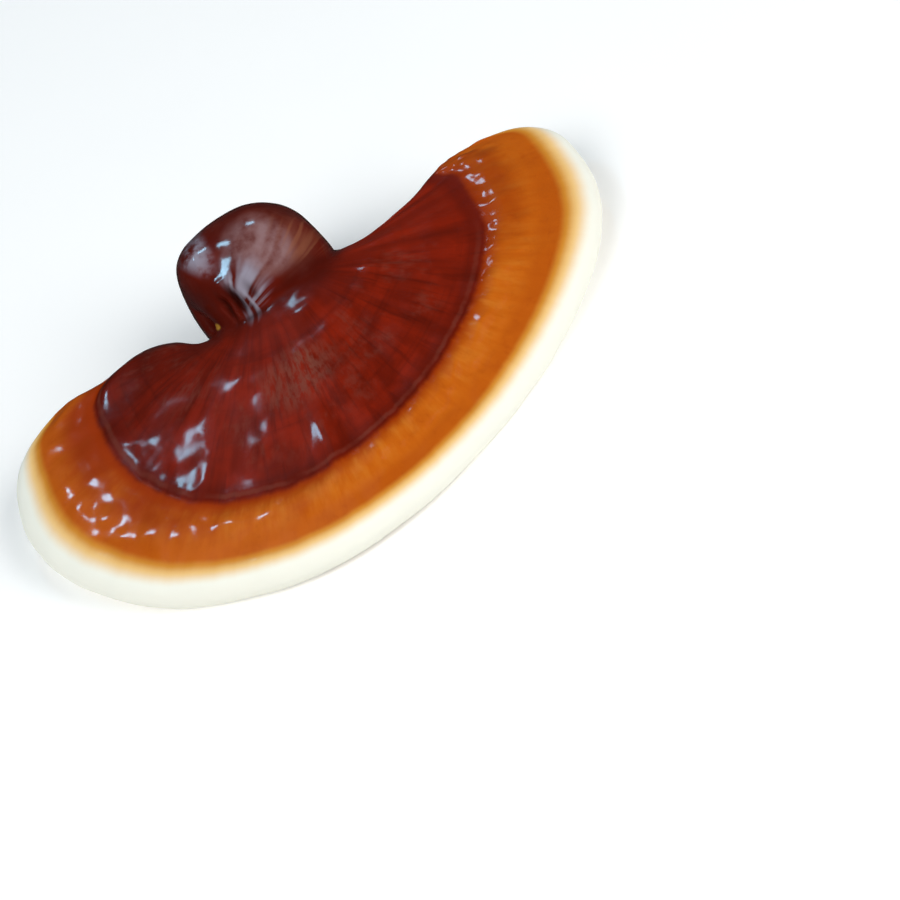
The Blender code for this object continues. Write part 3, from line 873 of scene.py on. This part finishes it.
class ReishiForm(bpy.types.PropertyGroup):
    """Relief and resolution of the mushroom"""

    groove_depth: length("Zone Groove", "Depth of the groove where the dark zone ends", 0.06 * MM)
    shoulder_height: length("Band Shoulder", "Height of the band's step outside the groove", 0.8 * MM)
    roll_height: length("Band Roll", "Height of the roll along the middle of the band", 0.5 * MM)
    inner_roll: length("Inner Roll", "Height of the roll along the outer part of the dark zone", 0.3 * MM)
    lobe_height: length("Lobes", "Height of the broad lobes of the cap", 0.15 * MM)
    rib_height: length("Ribs", "Height of the ribs on the right wing", 0.22 * MM)
    lump_height: length("Lumps", "Height of the lumps all over the crust", 0.28 * MM)
    wrinkle_height: length("Wrinkles", "Height of the wrinkles that run along the growth", 0.06 * MM)
    pleat_height: length("Pleats", "Height of the short pleats outside the groove", 0.28 * MM)
    dimple_height: length("Dimples", "Height of the dimples on the band", 0.16 * MM)
    crest_height: length("Band Crest", "Height of the narrow crest on the band's roll", 0.25 * MM)
    lip_swell: length("Lip Swell", "Height of the soft swells of the lip", 0.2 * MM)
    columns: IntProperty(
        name="Columns", description="Columns across the top, a multiple of 4", default=400, min=40
    )
    rings: IntProperty(name="Rings", description="Rings from the cut to the lip", default=190, min=40)
    cut_rings: IntProperty(name="Cut Rings", description="Rings inside the cut face", default=3, min=1)


class ReishiColours(bpy.types.PropertyGroup):
    """Colours of the mushroom's zones"""

    crust_dark: colour("Dark Crust", "Lacquered crust of the inner zone", 98, 20, 5)
    crust_red: colour("Red Crust", "Redder streaks of the inner zone", 132, 30, 9)
    # Painted shade for the bottom of the creases, the neck and the troughs between the ribs.
    painted_crease_shade: colour("Hollows", "Bottom of the creases and between the ribs", 40, 8, 4)
    crust_deep: colour("Deep Crust", "Darkest streaks and the inner side of the groove", 70, 13, 5)
    # Brown of the dust and bloom, partly painted sheen: on the dark zone, in the ring inside the groove and
    # on the elbow's crown.
    bloom_and_sheen_brown: colour("Brown Bloom", "Dull ring inside the groove and edge of the bloom", 114, 62, 50)
    # Grey of the bloom on the elbow's crown, partly painted sheen.
    bloom_and_sheen_grey: colour("Grey Bloom", "Bloom on the elbow's crown", 142, 112, 114)
    # Painted highlights and soft reflections, partly bloom: on the elbow's left flank, the streaks of its
    # neck and its folds.
    bloom_and_highlight_blue: colour("Blue Bloom", "Bloom on the elbow's left flank and streaks of its neck", 146, 142, 156)
    crown_tan: colour("Crown Wrinkles", "Tan wrinkles on the elbow's crown", 146, 88, 62)
    amber: colour("Amber", "Spot in the left neck of the elbow", 196, 142, 44)
    band_burnt: colour("Burnt Orange", "Band next to the groove", 144, 46, 3)
    band_orange: colour("Orange", "Middle of the band", 192, 94, 14)
    band_light: colour("Light Orange", "Pleats of the band", 206, 126, 42)
    band_outer: colour("Outer Orange", "Outer part of the band", 172, 74, 8)
    golden: colour("Golden", "Narrow ring where the band fades", 208, 138, 48)
    cream: colour("Cream", "Ring inside the lip", 236, 192, 122)
    lip_white: colour("Lip", "Fresh pale lip", 244, 243, 230)
    pore_cream: colour("Pores", "Pore surface below", 226, 208, 172)
    pore_shade: colour("Pore Shade", "Inside of the pores", 168, 138, 98)
    pore_tan: colour("Pore Stain", "Stained patches of the pore surface", 190, 156, 110)
    flesh_tan: colour("Flesh", "Corky flesh in the cut", 196, 158, 112)
    flesh_brown: colour("Flesh Fibres", "Darker fibres in the cut", 142, 96, 58)


class ReishiFinish(bpy.types.PropertyGroup):
    """Gloss of the mushroom's surfaces"""

    crust_roughness: factor("Crust Roughness", "Roughness under the lacquer of the dark zone", 0.38)
    band_roughness: factor("Band Roughness", "Roughness under the lacquer of the band", 0.45)
    lip_roughness: factor("Lip Roughness", "Roughness of the lip, the pores and the cut", 0.85)
    cap_lacquer: factor("Cap Lacquer", "Strength of the clear lacquer on the cap's dark zone", 0.68)
    full_lacquer: factor("Full Lacquer", "Strength of the clear lacquer on the band and the elbow", 1.0)
    lacquer_roughness: factor("Lacquer Roughness", "Roughness of the clear lacquer", 0.13)
    grain_height: length("Grain Height", "Height of the grain in the finish", 0.12 * MM)


class ReishiStage(bpy.types.PropertyGroup):
    """Floor, surroundings and camera"""

    floor_size: length("Floor", "Side of the floor", 6.0)
    floor_colour: colour("Floor Colour", "Pale floor", 252, 251, 249)
    floor_glow: factor("Floor Glow", "Light that the floor gives off", 0.12)
    elevation: angle("Elevation", "Height of the camera's view over the floor", 42.0)
    roll: angle("Roll", "Turn of the camera about its view", 29.1)
    lens: FloatProperty(name="Lens", description="Focal length in millimetres", default=85.0, min=20.0)
    ambient: factor("Ambient", "Strength of the even light from all round", 0.03)
    glow: factor("Glow", "Strength of the soft glow behind and above", 0.13)


class MESH_OT_reishi_body(bpy.types.Operator):
    """Make the mushroom in place of its plain solid"""

    bl_idname = "mesh.reishi_body"
    bl_label = "Reishi Body"
    bl_options = {"REGISTER", "UNDO"}

    def execute(self, context):
        scene = context.scene
        mesh, shift = body_mesh(scene.reishi_form)
        mesh.materials.append(mushroom_finish(scene.reishi_colours, scene.reishi_finish))
        piece = bpy.data.objects.new(PIECE, mesh)
        scene.collection.objects.link(piece)
        scene["growth_centre"] = (-shift * MM).tolist()
        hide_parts(NODE)
        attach(piece, "root")
        return {"FINISHED"}


def direction(azimuth, elevation):
    """Unit vector towards a light. Azimuth 0 is in front of the lip, and positive turns to the right wing."""
    a, e = np.radians(azimuth), np.radians(elevation)
    return Vector((np.sin(a) * np.cos(e), -np.cos(a) * np.cos(e), np.sin(e)))


def add_light(name, azimuth, elevation, distance, size, watts, tint, in_reflections):
    """A rectangular light aimed at the mushroom."""
    data = bpy.data.lights.new(name, "AREA")
    data.shape = "RECTANGLE"
    data.size, data.size_y = size
    data.energy = watts
    data.color = tint
    light = bpy.data.objects.new(name, data)
    aim = direction(azimuth, elevation)
    light.location = aim * distance
    light.rotation_euler = aim.to_track_quat("Z", "Y").to_euler()
    light.visible_glossy = in_reflections
    bpy.context.scene.collection.objects.link(light)


def surroundings(stage):
    """Even dim light with a soft glow, which gives the lacquer its sheen."""
    world = bpy.data.worlds.new("surroundings")
    world.use_nodes = True
    g = Graph(world.node_tree)
    facing = g.node("VectorMath", operation="DOT_PRODUCT")
    g.link(g.node("TexCoord").outputs["Generated"], facing.inputs[0])
    g.link(direction(*GLOW), facing.inputs[1])
    background = world.node_tree.nodes["Background"]
    background.inputs["Color"].default_value = (*SKY_TINT, 1.0)
    glow = g.ramp(facing.outputs["Value"], *GLOW_COSINES, stage.glow)
    g.link(g.add(glow, stage.ambient), background.inputs["Strength"])
    return world


def add_camera(stage, centre):
    """The camera at the photograph's angle, turned so that the mushroom stands left of the middle."""
    focal = stage.lens / SENSOR_MM * FRAME_PIXELS
    ahead = Vector((0, np.cos(stage.elevation), -np.sin(stage.elevation)))
    right = Vector((1, 0, 0))
    up = right.cross(ahead)
    screen_x = right * np.cos(stage.roll) - up * np.sin(stage.roll)
    screen_y = right * np.sin(stage.roll) + up * np.cos(stage.roll)
    off_x = (AIM_PIXEL[0] - FRAME_PIXELS / 2) / focal
    off_y = (FRAME_PIXELS / 2 - AIM_PIXEL[1]) / focal
    forward = (ahead - screen_x * off_x - screen_y * off_y).normalized()
    cam_x = (screen_x - forward * screen_x.dot(forward)).normalized()
    cam_y = cam_x.cross(forward)
    data = bpy.data.cameras.new("camera")
    data.lens = stage.lens
    data.clip_start = 0.01
    camera = bpy.data.objects.new("camera", data)
    place = centre + Vector(AIM_POINT) * MM - ahead * (focal * MM_PER_PIXEL * MM)
    camera.matrix_world = Matrix.Translation(place) @ Matrix((cam_x, cam_y, -forward)).transposed().to_4x4()
    bpy.context.scene.collection.objects.link(camera)
    bpy.context.scene.camera = camera


class SCENE_OT_reishi_stage(bpy.types.Operator):
    """Make the pale floor, the soft lights and the camera"""

    bl_idname = "scene.reishi_stage"
    bl_label = "Stage"
    bl_options = {"REGISTER", "UNDO"}

    def execute(self, context):
        scene = context.scene
        stage = scene.reishi_stage
        half = stage.floor_size / 2
        mesh = bpy.data.meshes.new("floor")
        corners = [(-half, -half, 0), (half, -half, 0), (half, half, 0), (-half, half, 0)]
        mesh.from_pydata(corners, [], [(0, 1, 2, 3)])
        finish = plain_finish("pale_floor", stage.floor_colour, FLOOR_ROUGHNESS, stage.floor_glow)
        mesh.materials.append(finish)
        floor = bpy.data.objects.new("floor", mesh)
        floor.location.z = -FLOOR_GAP * MM
        floor.visible_glossy = False
        scene.collection.objects.link(floor)
        for light in LIGHTS:
            add_light(*light)
        scene.world = surroundings(stage)
        scene.view_settings.view_transform = "Standard"
        add_camera(stage, Vector(scene["growth_centre"]))
        return {"FINISHED"}


class VIEW3D_PT_reishi(bpy.types.Panel):
    """Settings and steps of the mushroom"""

    bl_idname = "VIEW3D_PT_reishi"
    bl_label = "Reishi Mushroom"
    bl_space_type = "VIEW_3D"
    bl_region_type = "UI"
    bl_category = "Reishi"

    def draw(self, context):
        for key, kind in GROUPS.items():
            box = self.layout.box()
            for name in kind.__annotations__:
                box.prop(getattr(context.scene, key), name)
        for operator in (MESH_OT_reishi_body, SCENE_OT_reishi_stage):
            self.layout.operator(operator.bl_idname)


GROUPS = {
    "reishi_form": ReishiForm,
    "reishi_colours": ReishiColours,
    "reishi_finish": ReishiFinish,
    "reishi_stage": ReishiStage,
}
CLASSES = (*GROUPS.values(), MESH_OT_reishi_body, SCENE_OT_reishi_stage, VIEW3D_PT_reishi)


def register():
    for item in CLASSES:
        bpy.utils.register_class(item)
    for name, group in GROUPS.items():
        setattr(bpy.types.Scene, name, PointerProperty(type=group))


def unregister():
    for name in GROUPS:
        delattr(bpy.types.Scene, name)
    for item in reversed(CLASSES):
        bpy.utils.unregister_class(item)


def main():
    register()
    bpy.ops.mesh.reishi_body()
    bpy.ops.scene.reishi_stage()


if __name__ == "__main__":
    main()
